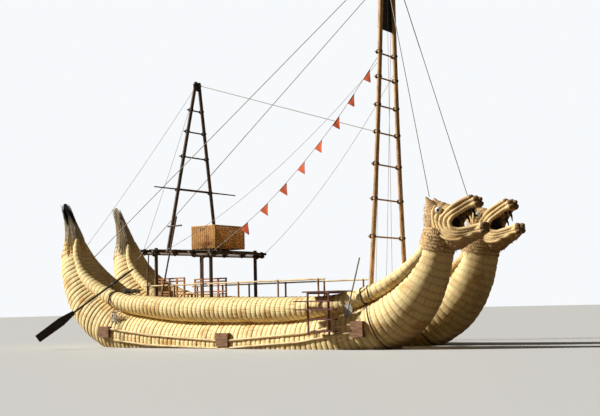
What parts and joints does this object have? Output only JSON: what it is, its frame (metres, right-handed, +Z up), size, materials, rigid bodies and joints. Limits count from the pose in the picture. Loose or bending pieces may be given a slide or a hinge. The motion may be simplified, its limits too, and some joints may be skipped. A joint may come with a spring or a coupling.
{
  "type": "twin-hulled reed boat with cat-headed bows",
  "caption": "Reed boat with twin crescent hulls ending in open-mouthed cat heads, a railed deck, raised platform with basket, bipod main and mizzen masts and a steering oar.",
  "frame": {"origin": "on the waterline, midway between the hulls and near mid-length", "axes": "+X to the bows, +Y to port, +Z up"},
  "size_m": [17.4618, 6.4314, 12.513],
  "materials": {
    "rope": "twisted rope",
    "basket": "woven cane",
    "dark_wood": "dark weathered pole",
    "bench_wood": "stained wood",
    "red_metal": "dull dark red paint",
    "grey_wood": "weathered wood",
    "reed_head": "dry tied reed, matt",
    "reed": "dry tied reed, matt",
    "black_wood": "black painted wood",
    "pole_wood": "peeled pole",
    "pennant": "thin cloth"
  },
  "bodies": {
    "boat": {"backstay_port": "rope", "backstay_starboard": "rope", "basket": "basket", "bench_port": "dark_wood", "bench_starboard": "bench_wood", "boarding_stair": "red_metal", "cross_logs": "dark_wood", "deck_planks": "dark_wood", "flag_line": "rope", "forestay_port": "rope", "forestay_starboard": "rope", "head_port": "reed_head", "head_starboard": "reed_head", "hull_port": "reed", "hull_starboard": "reed", "inner_roll_port": "reed", "inner_roll_starboard": "reed", "mast_head_board": "black_wood", "mast_leg_port": "pole_wood", "mast_leg_starboard": "pole_wood", "mast_rungs": "pole_wood", "mast_step_log": "dark_wood", "mizzen_leg_port": "dark_wood", "mizzen_leg_starboard": "dark_wood", "mizzen_rungs": "dark_wood", "mizzen_yard": "dark_wood", "oar_pin": "dark_wood", "outer_roll_port": "reed", "outer_roll_starboard": "reed", "paddle_peg": "dark_wood", "pennants": "pennant", "platform_cross_logs": "dark_wood", "platform_posts": "dark_wood", "platform_side_log_port": "dark_wood", "platform_side_log_starboard": "dark_wood", "platform_slats": "dark_wood", "rail_bar_port": "pole_wood", "rail_bar_starboard": "pole_wood", "rail_posts_port": "pole_wood", "rail_posts_starboard": "pole_wood", "rub_pads_port": "bench_wood", "rub_pads_starboard": "bench_wood", "rub_poles_port": "pole_wood", "rub_poles_starboard": "pole_wood", "tower_poles": "dark_wood", "triatic_stay": "rope"},
    "oar_swivel": {"oar_ring": "rope"},
    "oar": {"steering_oar": "black_wood", "oar_collar": "rope"},
    "paddle": {"bow_paddle": "grey_wood"}
  },
  "joints": [
    {"name": "oar_sweep", "type": "hinge", "parent": "boat", "child": "oar_swivel", "pos_m": [-5.44, -1.805, 2.19], "axis": [0, 0, 1], "range_deg": [-25, 20]},
    {"name": "oar_dip", "type": "hinge", "parent": "oar_swivel", "child": "oar", "pos_m": [-5.3507, -1.8527, 2.19], "axis": [-0.882, 0.4712, 0], "range_deg": [-5, 20]},
    {"name": "paddle_swing", "type": "hinge", "parent": "boat", "child": "paddle", "pos_m": [4.91, -2.105, 1.65], "axis": [0, -1, 0], "range_deg": [-5, 60]}
  ]
}
